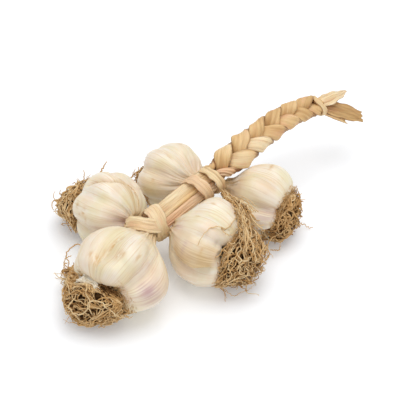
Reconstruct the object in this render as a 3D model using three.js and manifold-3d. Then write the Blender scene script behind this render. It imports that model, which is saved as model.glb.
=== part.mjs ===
// A short garlic braid, lying on its bulbs: five dried bulbs with their root beards, gathered on a bundle
// of leaf stems. Leaf wraps bind the bundle, which runs on as a three-strand plait with a tie and frayed
// tips.
// Millimetres, +Z up. +X runs along the stems from the end bulb to the tips, and z = 0 is the table.
import * as THREE from "three";
import { mergeVertices } from "three/addons/utils/BufferGeometryUtils.js";
import Module from "manifold-3d";

const wasm = await Module();
wasm.setup();

// ---- Driving dimensions ----

const GAP = 0.35; // clearance between pieces that touch
const TABLE_Z = 0;
const PLAN_MIDDLE = [10.3, 4.71]; // plan middle of the whole braid, which becomes the origin

// The bulb's outline from the middle of the root plate to the end of the neck, as [radius, height] in bulb
// radii. The equator is at EQUATOR, and the stretch past NECK_START bends towards the stems.
const BULB_OUTLINE = [
  [0, 0.13], [0.2, 0.12], [0.36, 0.06], [0.56, 0.0], [0.8, 0.1], [0.96, 0.36], [1.0, 0.64],
  [0.93, 0.92], [0.76, 1.16], [0.52, 1.35], [0.34, 1.5], [0.25, 1.68], [0.2, 1.95],
];
const EQUATOR = 0.64;
const NECK_START = 1.2;
const PLATE_HEIGHT = 0.13;
const FOOT_RADIUS = 0.56;
const BULB_STEPS = 15;
const BULB_SIDES = 25;
const CORE_RADIUS = 0.62; // what the cloves stand round, in bulb radii
const CLOVE_BLEND = 14; // the higher, the sharper the crease between two cloves
const CLOVE_DROP = 0.14; // how far a clove's foot hangs past the crease beside it, in bulb radii

// Each bulb: the middle of its equator, the plan direction from root plate to neck, the rise towards the
// neck, and where the neck ends. A clove is [angle round the bulb from the top, half width, reach], the last
// two in bulb radii. The beard is the root mat: its half sizes across and up, its thickness and its offset
// across and up.
const BULBS = [
  {
    name: "end", middle: [-77, -7.5, 26.6], heading: 14,
    rise: 4, diameter: 58, neckEnd: [-40, 5, 29],
    cloves: [
      [30, 0.46, 1.0], [97, 0.44, 1.13], [150, 0.4, 1.0],
      [205, 0.44, 1.0], [262, 0.42, 1.04], [318, 0.44, 1.03],
    ],
    beard: { radii: [27, 18], thickness: 18, shift: [-7, -10], phase: 0.4 },
  },
  {
    name: "left_front", middle: [-43, 38, 24.5], heading: -82,
    rise: 8, diameter: 52, neckEnd: [-47, 17.2, 27.2],
    cloves: [
      [-62, 0.42, 1.0], [2, 0.46, 1.02], [62, 0.44, 1.02],
      [122, 0.44, 1.07], [190, 0.42, 0.98], [244, 0.4, 1.0],
    ],
    beard: { radii: [20, 18], thickness: 19, shift: [4, -6], phase: 1.7 },
  },
  {
    name: "left_back", middle: [8.5, 35.5, 21.6], heading: -88,
    rise: 12, diameter: 46.5, neckEnd: [14, 11.9, 35],
    cloves: [
      [-40, 0.44, 1.0], [20, 0.44, 1.0], [78, 0.44, 1.02],
      [140, 0.42, 1.0], [200, 0.42, 1.0], [262, 0.42, 0.98],
    ],
    beard: { radii: [14, 12], thickness: 9, shift: [5, -6], phase: 2.9 },
  },
  {
    name: "right_front", middle: [-22.5, -29, 25.4], heading: 105,
    rise: 4, diameter: 55, neckEnd: [-27.5, -4.8, 26.6],
    cloves: [
      [-28, 0.46, 1.02], [38, 0.46, 1.13], [98, 0.44, 1.02],
      [160, 0.42, 1.0], [222, 0.44, 1.0], [276, 0.42, 1.06],
    ],
    beard: { radii: [20, 20], thickness: 17, shift: [3, -2], phase: 4.2 },
  },
  {
    name: "right_back", middle: [32, -24, 23.4], heading: 107,
    rise: 6, diameter: 50, neckEnd: [20, -3, 31.6],
    cloves: [
      [-30, 0.46, 1.0], [40, 0.46, 1.04], [104, 0.44, 1.0],
      [166, 0.42, 1.0], [226, 0.4, 1.0], [284, 0.3, 1.12],
    ],
    beard: { radii: [18, 17], thickness: 9, shift: [-1, -4], phase: 5.3 },
  },
];

// The root beard is a felted mat that hugs the foot of the bulb, with single roots that arch over it.
const BEARD_SIDES = 14;
const BEARD_RINGS = [0.28, 0.55, 0.8, 1];
const BEARD_STALK = 8; // radius of the tuft where the roots leave the root plate
const BEARD_CLEARANCE = 1.6; // between the cloves' feet and the mat
const BEARD_ROOM = 1.025; // the mat leaves room for a bulb that is larger by this factor
const ROOT_RADIUS = 0.9;
const ROOT_SIDES = 3;
const ROOT_STEPS = 4;
const ROOTS_PER_BEARD = 7;

// The line that the stems and the plait follow, from inside the first wrap to past the tie.
const SPINE = [
  [-52, 9, 29], [-36, 4.8, 32], [-16, 3.4, 36.5], [0, 2.4, 39.5], [12, 1.4, 41.5], [31, 1.0, 45.5],
  [54, 1.2, 49.5], [77, 0.6, 51.5], [98, -1, 50], [112, -4.5, 48], [124, -8, 45],
];

// Leaf straps of the stem bundle: [name, first x, last x, offset across, offset up, half width,
// half thickness, roll].
const STEMS = [
  ["stem_leaf_top", -34, 10, 1.8, 1.6, 5.4, 2.1, 12],
  ["stem_leaf_front", -33, 9.6, -5.3, -2.2, 3.0, 2.2, 42],
  ["stem_leaf_under", -34, 10, 1.6, -3.6, 4.4, 1.9, 8],
];
const STEM_SIDES = 8;
const STEM_STEPS = 9;

// Leaf wraps round the bundle: [name, x, half width along x, inner half sizes across and up, offsets across
// and up, skew along x from back to front].
const WRAP_THICKNESS = 1.3;
const WRAPS = [
  ["wrap_first", -34.4, 5.8, 8.6, 10.2, -0.3, -0.6, 0.5],
  ["wrap_second", -1, 4.2, 9.2, 6.9, -0.6, -0.8, 2],
  ["wrap_third", 11.5, 3.6, 9.0, 7.4, -0.6, -1.2, 0],
  ["end_tie", 109.5, 1.7, 5.6, 3.9, 0, 0, 1],
];
const WRAP_SIDES = 20;

// Loose leaves: the line they follow, half widths along it, and a point behind the leaf that its back looks
// at.
const LEAF_THICKNESS = 1.2;
const LEAF_SIDES = 8;
const LEAF_STEPS = 10;
const LEAVES = [
  {
    name: "crossing_leaf", behind: [-53, 9, 14], ripple: 0,
    path: [
      [-49.6, 15.2, 36.0], [-49.4, 11.8, 38.6], [-48.4, 7.0, 40.6], [-47.3, 1.5, 39.5], [-46.4, -4.6, 35.6],
    ],
    halfWidths: [4.0, 4.7, 4.6, 4.2, 3.2],
  },
  {
    name: "tip_leaf_upper", behind: [125, 0, 0], ripple: 0.5,
    path: [[112.1, -3.3, 49.0], [119, -5, 49.2], [129, -5.2, 47.6], [138.5, -4.5, 45]],
    halfWidths: [2.4, 3.4, 3.1, 1.0],
  },
  {
    name: "tip_leaf_lower", behind: [120, 10, 0], ripple: 1.1,
    path: [[112, -6.4, 46.9], [118, -10.5, 45], [127, -16, 40.5], [135, -21.5, 35]],
    halfWidths: [2.2, 4.4, 5.2, 3.6],
  },
  {
    name: "tip_leaf_strip", behind: [120, 10, 0], ripple: 0.4,
    path: [[111.6, -7.6, 44.6], [114.8, -11, 42.6], [118.5, -15, 39.5], [122.5, -20, 35.5]],
    halfWidths: [1.4, 2.4, 2.6, 1.6],
  },
];

const PLAIT = {
  start: 13, end: 109.5, // along X
  bight: [16.8, 12.4], // distance between two bights on one side, at the foot and at the tip
  first: 0.55, // share of a bight that the foot has behind it
  sway: [8.2, 5.0], // how far a strand's middle swings sideways
  lift: [3.5, 2.5], // how far it rises and dips
  halfWidth: [5.0, 3.6],
  halfThickness: [2.0, 1.45],
  roll: 24, // degrees that the plait's face turns to the -Y side
  gather: 0.55, // share of the sway that is left inside the wraps at both ends
  gatherLength: 15,
};
const STRAND_STEPS = 42;
const STRAND_SIDES = 6;

// ---- Closed solids from stock geometries ----

const lerp = THREE.MathUtils.lerp;
const radians = THREE.MathUtils.degToRad;
const smooth = THREE.MathUtils.smoothstep;
const vector = (p) => new THREE.Vector3(...p);

// Welds a stock geometry into one closed surface, then moves every vertex with place(vertex).
function shaped(geometry, place) {
  for (const name of ["normal", "uv"]) geometry.deleteAttribute(name);
  const welded = mergeVertices(geometry, 1e-4);
  const positions = welded.getAttribute("position");
  const vertex = new THREE.Vector3();
  for (let i = 0; i < positions.count; i++) {
    place(vertex.fromBufferAttribute(positions, i));
    positions.setXYZ(i, vertex.x, vertex.y, vertex.z);
  }
  const { array } = welded.index;
  const kept = [];
  for (let i = 0; i < array.length; i += 3) {
    const [a, b, c] = [array[i], array[i + 1], array[i + 2]];
    if (a !== b && b !== c && c !== a) kept.push(a, b, c);
  }
  welded.setIndex(kept);
  return welded;
}

function toManifold(geometry) {
  const vertProperties = Float32Array.from(geometry.getAttribute("position").array);
  const triVerts = Uint32Array.from(geometry.index.array);
  return new wasm.Manifold(new wasm.Mesh({ numProp: 3, vertProperties, triVerts }));
}

function toGeometry(solid) {
  const made = solid.getMesh();
  const geometry = new THREE.BufferGeometry();
  geometry.setAttribute("position", new THREE.BufferAttribute(made.vertProperties, made.numProp));
  geometry.setIndex(new THREE.BufferAttribute(made.triVerts, 1));
  return geometry;
}

// A solid along a curve. size(t) gives the half width across and the half thickness over, and
// face(t, tangent) the direction that the flat side looks in.
function sweptSolid(line, sides, steps, size, face, finish = () => {}) {
  return shaped(new THREE.CylinderGeometry(1, 1, 1, sides, steps), (p) => {
    const t = THREE.MathUtils.clamp(p.y + 0.5, 0, 1);
    const tangent = line.getTangent(t);
    const across = new THREE.Vector3().crossVectors(tangent, face(t, tangent)).normalize();
    const over = new THREE.Vector3().crossVectors(across, tangent);
    const [halfWidth, halfThickness] = size(t);
    const [x, z] = [p.x * halfWidth, p.z * halfThickness];
    p.copy(line.getPoint(t)).addScaledVector(across, x).addScaledVector(over, z);
    finish(p);
  });
}

// ---- Bulbs ----

const bulbOutline = new THREE.SplineCurve(BULB_OUTLINE.map(([r, h]) => new THREE.Vector2(r, h)));

// How far the skin stands out at an angle round the bulb: the cloves' round backs, blended over their
// creases.
function cloveReach(cloves, angle) {
  let sum = CORE_RADIUS ** CLOVE_BLEND;
  for (const [turn, halfWidth, reach] of cloves) {
    const away = angle - radians(turn);
    const off = reach - halfWidth;
    const inside = halfWidth ** 2 - (off * Math.sin(away)) ** 2;
    if (inside > 0) sum += Math.max(0, off * Math.cos(away) + Math.sqrt(inside)) ** CLOVE_BLEND;
  }
  return sum ** (1 / CLOVE_BLEND);
}

// The bulb's frame: +Y from the root plate to the neck, +Z the side of the bulb that is uppermost.
function bulbTurn({ heading, rise }) {
  const flat = Math.cos(radians(rise));
  const [forward, left] = [Math.cos(radians(heading)), Math.sin(radians(heading))];
  const axis = vector([forward * flat, left * flat, Math.sin(radians(rise))]);
  const side = new THREE.Vector3().crossVectors(axis, vector([0, 0, 1])).normalize();
  const top = new THREE.Vector3().crossVectors(side, axis);
  return new THREE.Quaternion().setFromRotationMatrix(new THREE.Matrix4().makeBasis(side, axis, top));
}

// What is left of a turned piece above the table: it sits on a small flat.
function cutByTable(solid, group) {
  const up = vector([0, 0, 1]).applyQuaternion(group.quaternion.clone().invert());
  return solid.trimByPlane(up.toArray(), TABLE_Z - group.position.z);
}

function bulbSolid(bulb, group) {
  const radius = bulb.diameter / 2;
  const profile = bulbOutline.getPoints(BULB_STEPS).map(({ x, y }) => new THREE.Vector2(x, y));
  const neckTop = profile.at(-1).y;
  profile.push(new THREE.Vector2(0, neckTop));
  const neckEnd = group.worldToLocal(vector(bulb.neckEnd)).divideScalar(radius);
  neckEnd.y += EQUATOR;
  const geometry = shaped(new THREE.LatheGeometry(profile, BULB_SIDES), (p) => {
    const out = Math.hypot(p.x, p.z);
    const reach = cloveReach(bulb.cloves, Math.atan2(p.x, p.z));
    const show = lerp(1, 0.12, smooth(p.y, 0.75, 1.55)) * smooth(out, 0.3, 0.6);
    const foot = CLOVE_DROP * (reach - 0.85) * smooth(out, 0.35, 0.6) * (1 - smooth(p.y, 0.05, 0.5));
    const along = THREE.MathUtils.clamp((p.y - NECK_START) / (neckTop - NECK_START), 0, 1);
    const bend = along * along;
    p.x = p.x * lerp(1, reach, show) + neckEnd.x * bend;
    p.z = p.z * lerp(1, reach, show) + neckEnd.z * bend;
    p.y = p.y - foot - EQUATOR + (neckEnd.y - neckTop) * bend;
    p.multiplyScalar(radius);
  });
  return toManifold(geometry);
}

// ---- Root beards ----

// A small repeatable random draw.
function draws(seed) {
  let state = seed;
  return () => {
    state = (state * 1664525 + 1013904223) % 4294967296;
    return state / 4294967296;
  };
}

// The mat's uneven edge: its radius at an angle, as a share of the mean.
function matEdge(angle, phase) {
  return 1 + 0.09 * Math.sin(2 * angle + phase) + 0.07 * Math.sin(3 * angle + 2.3 * phase)
    + 0.04 * Math.sin(7 * angle + 3.1 * phase);
}

// The lumps of the felted face, in millimetres.
function matLump(angle, out, phase) {
  return 1.1 * Math.sin(5 * angle + phase + 7 * out) * Math.cos(9 * out - phase)
    + 0.6 * Math.sin(11 * angle - 16 * out);
}

// The height of the cloves' feet at a distance from the bulb's axis, both in bulb radii.
function footHeight(out) {
  const beyond = THREE.MathUtils.clamp((out - FOOT_RADIUS) / (1 - FOOT_RADIUS), 0, 0.93);
  return EQUATOR * (1 - Math.sqrt(1 - beyond ** 2));
}

// A point of the mat in its bulb's frame. out is 0 in the middle and 1 at the rim; depth is 0 on the face
// towards the bulb, which follows the cloves' feet, and 1 on the face away from it.
function matPoint({ diameter, cloves, beard }, out, angle, depth) {
  const radius = diameter / 2;
  const edge = matEdge(angle, beard.phase);
  const moved = Math.max(out * out, depth);
  const x = Math.sin(angle) * out * edge * beard.radii[0] + beard.shift[0] * moved;
  const z = Math.cos(angle) * out * edge * beard.radii[1] + beard.shift[1] * moved;
  const reach = cloveReach(cloves, Math.atan2(x, z));
  const foot = (footHeight(Math.hypot(x, z) / (radius * reach)) - EQUATOR) * radius - BEARD_CLEARANCE;
  const bulge = beard.thickness * Math.sqrt(1 - 0.7 * Math.min(1, out * out));
  return vector([x, foot - depth * (bulge + matLump(angle, out, beard.phase)), z]);
}

function beardSolid(bulb, bulbBody, seed) {
  const stalk = BEARD_STALK / bulb.beard.radii[0];
  const plate = -(EQUATOR - PLATE_HEIGHT) * (bulb.diameter / 2) - GAP;
  // The lathe's height is -1 on the outer face, 0 on the inner face and 1 on the tuft under the root plate.
  const profile = [new THREE.Vector2(0, -1)];
  for (const ring of BEARD_RINGS) profile.push(new THREE.Vector2(ring, -1));
  for (const ring of [1, 0.75, stalk]) profile.push(new THREE.Vector2(ring, 0));
  profile.push(new THREE.Vector2(stalk * 0.8, 1));
  profile.push(new THREE.Vector2(0, 1));
  const core = shaped(new THREE.LatheGeometry(profile, BEARD_SIDES), (p) => {
    const height = p.y;
    p.copy(matPoint(bulb, Math.hypot(p.x, p.z), Math.atan2(p.x, p.z), Math.max(0, -height)));
    p.y = lerp(p.y, plate, Math.max(0, height));
  });
  const draw = draws(seed);
  let solid = toManifold(core).subtract(bulbBody.scale(BEARD_ROOM));
  for (let i = 0; i < ROOTS_PER_BEARD; i++) {
    solid = solid.add(rootSolid(bulb, (i + draw()) / ROOTS_PER_BEARD, draw));
  }
  return solid;
}

// One root that leaves the mat, arches over its face and dives back in.
function rootSolid(bulb, turn, draw) {
  const start = turn * 2 * Math.PI;
  const sweep = lerp(0.5, 1.2, draw()) * (draw() < 0.5 ? -1 : 1);
  const [inner, outer] = [lerp(0.1, 0.6, draw()), lerp(0.75, 0.98, draw())];
  const path = [];
  for (const t of [0, 0.25, 0.5, 0.75, 1]) {
    const p = matPoint(bulb, lerp(inner, outer, t), start + sweep * t, 1);
    p.y += 1.2 - 3.2 * Math.sin(Math.PI * t) * lerp(0.7, 1, draw());
    path.push(p);
  }
  const line = new THREE.CatmullRomCurve3(path);
  const down = vector([0, -1, 0]);
  const size = () => [ROOT_RADIUS, ROOT_RADIUS];
  return toManifold(sweptSolid(line, ROOT_SIDES, ROOT_STEPS, size, () => down));
}

// ---- Stem leaves, wraps and loose leaves ----

const spine = new THREE.CatmullRomCurve3(SPINE.map(vector));

// The spine's point and tangent at a place along X.
function spineAt(x) {
  let [low, high] = [0, 1];
  for (let i = 0; i < 30; i++) {
    const middle = (low + high) / 2;
    if (spine.getPoint(middle).x < x) low = middle;
    else high = middle;
  }
  return { point: spine.getPoint(low), tangent: spine.getTangent(low) };
}

// Directions across the bundle (towards +Y) and out of its face at a point of the spine, turned by a roll.
function bundleFrame(tangent, roll) {
  const up = vector([0, -Math.sin(radians(roll)), Math.cos(radians(roll))]);
  const across = new THREE.Vector3().crossVectors(up, tangent).normalize();
  return { across, over: new THREE.Vector3().crossVectors(tangent, across) };
}

// A line beside the spine.
class BesideSpine extends THREE.Curve {
  constructor(from, to, aside, above) {
    super();
    Object.assign(this, { from, to, aside, above });
  }

  getPoint(t, target = new THREE.Vector3()) {
    const { point, tangent } = spineAt(lerp(this.from, this.to, t));
    const { across, over } = bundleFrame(tangent, 0);
    return target.copy(point).addScaledVector(across, this.aside).addScaledVector(over, this.above);
  }
}

function stemSolid([, from, to, aside, above, halfWidth, halfThickness, roll]) {
  const line = new BesideSpine(from, to, aside, above);
  const face = (t, tangent) => bundleFrame(tangent, roll).over;
  return sweptSolid(line, STEM_SIDES, STEM_STEPS, () => [halfWidth, halfThickness], face);
}

// A wrap is a band bent round the bundle: a torus whose ring follows the bundle's outline.
function wrapSolid([, x, halfWidth, insideAcross, insideUp, aside, above, skew]) {
  const { point, tangent } = spineAt(x);
  const { across, over } = bundleFrame(tangent, 0);
  return shaped(new THREE.TorusGeometry(2, 1, 6, WRAP_SIDES), (p) => {
    const turn = Math.atan2(p.y, p.x);
    const thickness = (Math.hypot(p.x, p.y) - 1) * (WRAP_THICKNESS / 2);
    const along = p.z * halfWidth - skew * Math.cos(turn);
    const side = Math.cos(turn) * (insideAcross + thickness) + aside;
    const height = Math.sin(turn) * (insideUp + thickness) + above;
    p.copy(point).addScaledVector(tangent, along).addScaledVector(across, side).addScaledVector(over, height);
  });
}

// A value that runs through a list of values as t goes from 0 to 1.
function through(values, t) {
  const at = t * (values.length - 1);
  const first = Math.min(Math.floor(at), values.length - 2);
  return lerp(values[first], values[first + 1], smooth(at - first, 0, 1));
}

function leafSolid({ path, halfWidths, behind, ripple }) {
  const line = new THREE.CatmullRomCurve3(path.map(vector));
  const back = vector(behind);
  const face = (t) => line.getPoint(t).sub(back).normalize();
  const size = (t) => [through(halfWidths, t), LEAF_THICKNESS / 2];
  return sweptSolid(line, LEAF_SIDES, LEAF_STEPS, size, face, (p) => {
    const wave = ripple * Math.sin(0.55 * p.x + 0.9 * p.y);
    p.addScaledVector(p.clone().sub(back).normalize(), wave);
  });
}

// ---- The plait ----

const [BIGHT_FOOT, BIGHT_TIP] = PLAIT.bight;
const PLAIT_LENGTH = PLAIT.end - PLAIT.start;

// A strand's phase: it swings to and fro once for every three bights of one side.
function strandPhase(t, strand) {
  const tighter = Math.log(BIGHT_TIP / BIGHT_FOOT);
  const bights = (PLAIT_LENGTH / BIGHT_FOOT) * ((1 - Math.exp(-tighter * t)) / tighter);
  return (2 * Math.PI * (PLAIT.first + bights + strand)) / 3;
}

// How far the strands have spread at t: they are gathered inside the wrap and the tie.
function spread(t) {
  const fromEnd = Math.min(t, 1 - t) * PLAIT_LENGTH;
  return lerp(PLAIT.gather, 1, smooth(fromEnd, 0, PLAIT.gatherLength));
}

class StrandCurve extends THREE.Curve {
  constructor(strand) {
    super();
    this.strand = strand;
  }

  getPoint(t, target = new THREE.Vector3()) {
    const { point, tangent } = spineAt(lerp(PLAIT.start, PLAIT.end, t));
    const { across, over } = bundleFrame(tangent, PLAIT.roll);
    const phase = strandPhase(t, this.strand);
    const sway = spread(t) * lerp(...PLAIT.sway, t) * Math.sin(phase);
    const lift = lerp(...PLAIT.lift, t) * Math.sin(2 * phase);
    return target.copy(point).addScaledVector(across, sway).addScaledVector(over, lift);
  }
}

// The strap lies flat where it crosses the plait and stands on edge where it folds over the plait's side.
function strandSolid(strand) {
  const face = (t) => {
    const { tangent } = spineAt(lerp(PLAIT.start, PLAIT.end, t));
    const { across, over } = bundleFrame(tangent, PLAIT.roll);
    const fold = (Math.PI / 2) * (1 - Math.cos(strandPhase(t, strand)));
    return over.multiplyScalar(Math.cos(fold)).addScaledVector(across, Math.sin(fold));
  };
  const size = (t) => [lerp(...PLAIT.halfWidth, t) * spread(t), lerp(...PLAIT.halfThickness, t) * spread(t)];
  return sweptSolid(new StrandCurve(strand), STRAND_SIDES, STRAND_STEPS, size, face);
}

// ---- The braid ----

const SKIN = new THREE.MeshStandardMaterial({ color: 0xe6dcc6, roughness: 0.55, metalness: 0 });
const ROOT = new THREE.MeshStandardMaterial({ color: 0xa07c4c, roughness: 0.95, metalness: 0 });
const LEAF = new THREE.MeshStandardMaterial({ color: 0xd2b07c, roughness: 0.75, metalness: 0 });

const braid = new THREE.Group();

function add(parent, name, geometry, material) {
  const mesh = new THREE.Mesh(geometry, material);
  mesh.name = name;
  parent.add(mesh);
}

BULBS.forEach((bulb, i) => {
  const group = new THREE.Group();
  group.position.set(...bulb.middle);
  group.quaternion.copy(bulbTurn(bulb));
  group.updateMatrixWorld(true);
  braid.add(group);
  const body = bulbSolid(bulb, group);
  const beard = beardSolid(bulb, body, 11 + 7 * i);
  add(group, `bulb_${bulb.name}`, toGeometry(cutByTable(body, group)), SKIN);
  add(group, `roots_${bulb.name}`, toGeometry(cutByTable(beard, group)), ROOT);
});
braid.position.set(-PLAN_MIDDLE[0], -PLAN_MIDDLE[1], -TABLE_Z);

for (const stem of STEMS) add(braid, stem[0], stemSolid(stem), LEAF);
for (const wrap of WRAPS) add(braid, wrap[0], wrapSolid(wrap), LEAF);
for (const leaf of LEAVES) add(braid, leaf.name, leafSolid(leaf), LEAF);
for (const strand of [0, 1, 2]) add(braid, `strand_${strand + 1}`, strandSolid(strand), LEAF);

export default braid;
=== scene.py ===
"""Looks of the garlic braid: papery bulbs, tangled root mats, dry leaf straps and the plait."""
import math

import bpy
import numpy as np
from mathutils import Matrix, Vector


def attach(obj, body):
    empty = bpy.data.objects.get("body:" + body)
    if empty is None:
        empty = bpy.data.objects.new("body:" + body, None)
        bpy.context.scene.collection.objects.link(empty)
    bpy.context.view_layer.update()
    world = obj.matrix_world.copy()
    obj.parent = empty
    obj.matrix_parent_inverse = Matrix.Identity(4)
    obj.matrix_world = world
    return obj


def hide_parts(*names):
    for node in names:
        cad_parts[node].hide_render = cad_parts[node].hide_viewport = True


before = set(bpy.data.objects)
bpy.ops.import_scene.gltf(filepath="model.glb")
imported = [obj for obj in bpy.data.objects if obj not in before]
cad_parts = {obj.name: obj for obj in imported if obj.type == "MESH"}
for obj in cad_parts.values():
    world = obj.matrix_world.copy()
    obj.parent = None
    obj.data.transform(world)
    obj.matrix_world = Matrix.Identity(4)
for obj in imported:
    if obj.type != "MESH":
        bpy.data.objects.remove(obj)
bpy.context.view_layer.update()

# ---- The braid's layout, in millimetres of the CAD source ----

PLAN_MIDDLE = np.array([10.3, 4.71, 0])
BULB_OUTLINE = np.array([
    [0, 0.13], [0.2, 0.12], [0.36, 0.06], [0.56, 0], [0.8, 0.1], [0.96, 0.36], [1, 0.64],
    [0.93, 0.92], [0.76, 1.16], [0.52, 1.35], [0.34, 1.5], [0.25, 1.68], [0.2, 1.95],
])
EQUATOR = 0.64
NECK_START = 1.2
NECK_TOP = 1.95
FOOT_RADIUS = 0.56
CORE_RADIUS = 0.62
CLOVE_BLEND = 14
CLOVE_DROP = 0.14
MAT_CLEARANCE = 0.4

# Heading and rise, in degrees, lead from a bulb's root plate to its neck. A clove is (angle in degrees, half
# width, reach), in radii. The mat is the bulb's root beard, with the number of its roots and how dark they
# are. Loose says how much farther out they lie towards a direction: (x, y, z, share).
BULBS = {
    "end": dict(
        middle=(-77, -7.5, 26.6), heading=14, rise=4, diameter=58, neck_end=(-40, 5, 29),
        cloves=[(30, 0.46, 1), (97, 0.44, 1.13), (150, 0.4, 1),
                (205, 0.44, 1), (262, 0.42, 1.04), (318, 0.44, 1.03)],
        mat=dict(radii=(27.5, 17.5), thickness=18, shift=(-8.5, -10.5), phase=0.4, roots=300, shade=0),
        loose=[(-0.2, -0.1, 1, 0.1), (-0.7, -0.9, -0.6, 0.18), (0.8, -0.2, -0.6, -0.12),
               (-0.8, 0, 0.6, -0.12)],
    ),
    "left_front": dict(
        middle=(-43, 38, 24.5), heading=-82, rise=8, diameter=52, neck_end=(-47, 17.2, 27.2),
        cloves=[(-62, 0.42, 1), (2, 0.46, 1.02), (62, 0.44, 1.02),
                (122, 0.44, 1.07), (190, 0.42, 0.98), (244, 0.4, 1)],
        mat=dict(radii=(17.5, 17), thickness=19, shift=(2.5, -4.5), phase=1.7, roots=260, shade=0),
        loose=[(0.7, -0.9, -0.2, 0.3), (0.9, 0.4, -0.3, -0.22)],
    ),
    "left_back": dict(
        middle=(8.5, 35.5, 21.6), heading=-88, rise=12, diameter=46.5, neck_end=(14, 11.9, 35),
        cloves=[(-40, 0.44, 1), (20, 0.44, 1), (78, 0.44, 1.02),
                (140, 0.42, 1), (200, 0.42, 1), (262, 0.42, 0.98)],
        mat=dict(radii=(14, 12), thickness=9, shift=(5, -6), phase=2.9, roots=110, hairs=160, shade=0.05),
        loose=[(0, -1, 0, 0.1)],
    ),
    "right_front": dict(
        middle=(-22.5, -29, 25.4), heading=105, rise=4, diameter=55, neck_end=(-27.5, -4.8, 26.6),
        cloves=[(-26, 0.46, 1.02), (38, 0.46, 1.13), (98, 0.44, 1.02), (160, 0.42, 1),
                (212, 0.44, 1), (257, 0.4, 1.02), (303, 0.44, 1.03)],
        mat=dict(radii=(20, 20), thickness=18, shift=(2.5, -3.5), phase=4.2, roots=265, shade=0.02),
        loose=[(1, -0.2, 0.5, 0.26)],
    ),
    "right_back": dict(
        middle=(32, -24, 23.4), heading=107, rise=6, diameter=50, neck_end=(20, -3, 31.6),
        cloves=[(-30, 0.46, 1), (40, 0.46, 1.04), (104, 0.44, 1),
                (166, 0.42, 1), (226, 0.4, 1), (284, 0.3, 1.12)],
        mat=dict(radii=(16.5, 18), thickness=9.5, shift=(0.4, -6.2), phase=5.3, roots=225, shade=0.12),
        loose=[(0, -1, 0.3, 0.1), (-0.2, -0.3, -1, 0.16)],
    ),
}

# The line of the stems and the plait, and the plait's sizes at its foot and its tip.
SPINE = np.array([
    [-52, 9, 29], [-36, 4.8, 32], [-16, 3.4, 36.5], [0, 2.4, 39.5], [12, 1.4, 41.5], [31, 1, 45.5],
    [54, 1.2, 49.5], [77, 0.6, 51.5], [98, -1, 50], [112, -4.5, 48], [124, -8, 45],
])
PLAIT = dict(
    start=13, end=109.5, bight=(16.8, 12.4), first=0.55, sway=(8.2, 5.7), lift=(3.5, 2.5),
    half_width=(5.5, 4.3), half_thickness=(2.4, 1.8), roll=24, gather=0.6,
    tip_gather=0.74, gather_length=14, tip_length=6,
)


# ---- Small numeric helpers ----

def lerp(a, b, t):
    return a + (b - a) * t


def smooth(x, low, high):
    t = np.clip((x - low) / (high - low), 0, 1)
    return t * t * (3 - 2 * t)


def full_turn(count):
    return np.linspace(0, 2 * math.pi, count, endpoint=False)


def unit(v):
    return v / np.maximum(np.linalg.norm(v, axis=-1, keepdims=True), 1e-9)


def paths_from(base, *moves):
    """Paths from base points, each move being (directions, distances)."""
    return sum((direction[:, None] * distance[..., None] for direction, distance in moves), base[:, None])


def sines(rates, phases):
    """A sum of sines with mean 0, each with a rate along every coordinate."""
    def value(*coordinates):
        total = 0
        for rate, phase in zip(rates, phases):
            total = total + np.sin(sum(c * k for c, k in zip(coordinates, rate)) + phase)
        return total / math.sqrt(len(phases) / 2)

    return value


def waves(seed, lowest, highest, count):
    """A smooth random function of as many coordinates as lowest has."""
    rng = np.random.default_rng(seed)
    lowest, highest = np.atleast_1d(lowest), np.atleast_1d(highest)
    rates = rng.uniform(lowest, highest, (count, len(lowest))) * rng.choice([-1, 1], (count, len(lowest)))
    return sines(rates, rng.uniform(0, 2 * math.pi, count))


def around(seed, lowest, highest, count=9):
    """Waves whose first coordinate is an angle, without a seam."""
    rng = np.random.default_rng(seed)
    turns = rng.integers(lowest[0], highest[0] + 1, count)
    rates = rng.uniform(lowest[1], highest[1], count) * rng.choice([-1, 1], count)
    return sines(np.stack([turns, rates], -1), rng.uniform(0, 2 * math.pi, count))


def spans(points, t):
    """The number of the span that each t from 0 to 1 is in, and how far into it."""
    at = np.clip(t, 0, 1) * (len(points) - 1)
    i = np.minimum(at.astype(int), len(points) - 2)
    return i, (at - i)[..., None]


def hermite(p0, p1, v0, v1, w):
    return p0 + v0 * w + (3 * (p1 - p0) - 2 * v0 - v1) * w**2 + (2 * (p0 - p1) + v0 + v1) * w**3


def centripetal(points, t):
    """The centripetal Catmull-Rom curve through the points."""
    points = np.asarray(points, float)
    i, w = spans(points, t)
    points = np.vstack([2 * points[0] - points[1], points, 2 * points[-1] - points[-2]])
    p0, p1, p2, p3 = (points[i + k] for k in range(4))
    d0, d1, d2 = (np.linalg.norm(gap, axis=-1, keepdims=True) ** 0.5 for gap in (p1 - p0, p2 - p1, p3 - p2))
    v1 = ((p1 - p0) / d0 - (p2 - p0) / (d0 + d1) + (p2 - p1) / d1) * d1
    v2 = ((p2 - p1) / d1 - (p3 - p1) / (d1 + d2) + (p3 - p2) / d2) * d1
    return hermite(p1, p2, v1, v2, w)


def uniform_curve(points, t):
    """The uniform Catmull-Rom curve, with its end points doubled."""
    i, w = spans(points, t)
    p0, p1, p2, p3 = (points[np.clip(i + k, 0, len(points) - 1)] for k in (-1, 0, 1, 2))
    return hermite(p1, p2, (p2 - p0) / 2, (p3 - p1) / 2, w)


# ---- Meshes ----

def add_object(name, data):
    thing = bpy.data.objects.new(name, data)
    bpy.context.scene.collection.objects.link(thing)
    return thing


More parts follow.
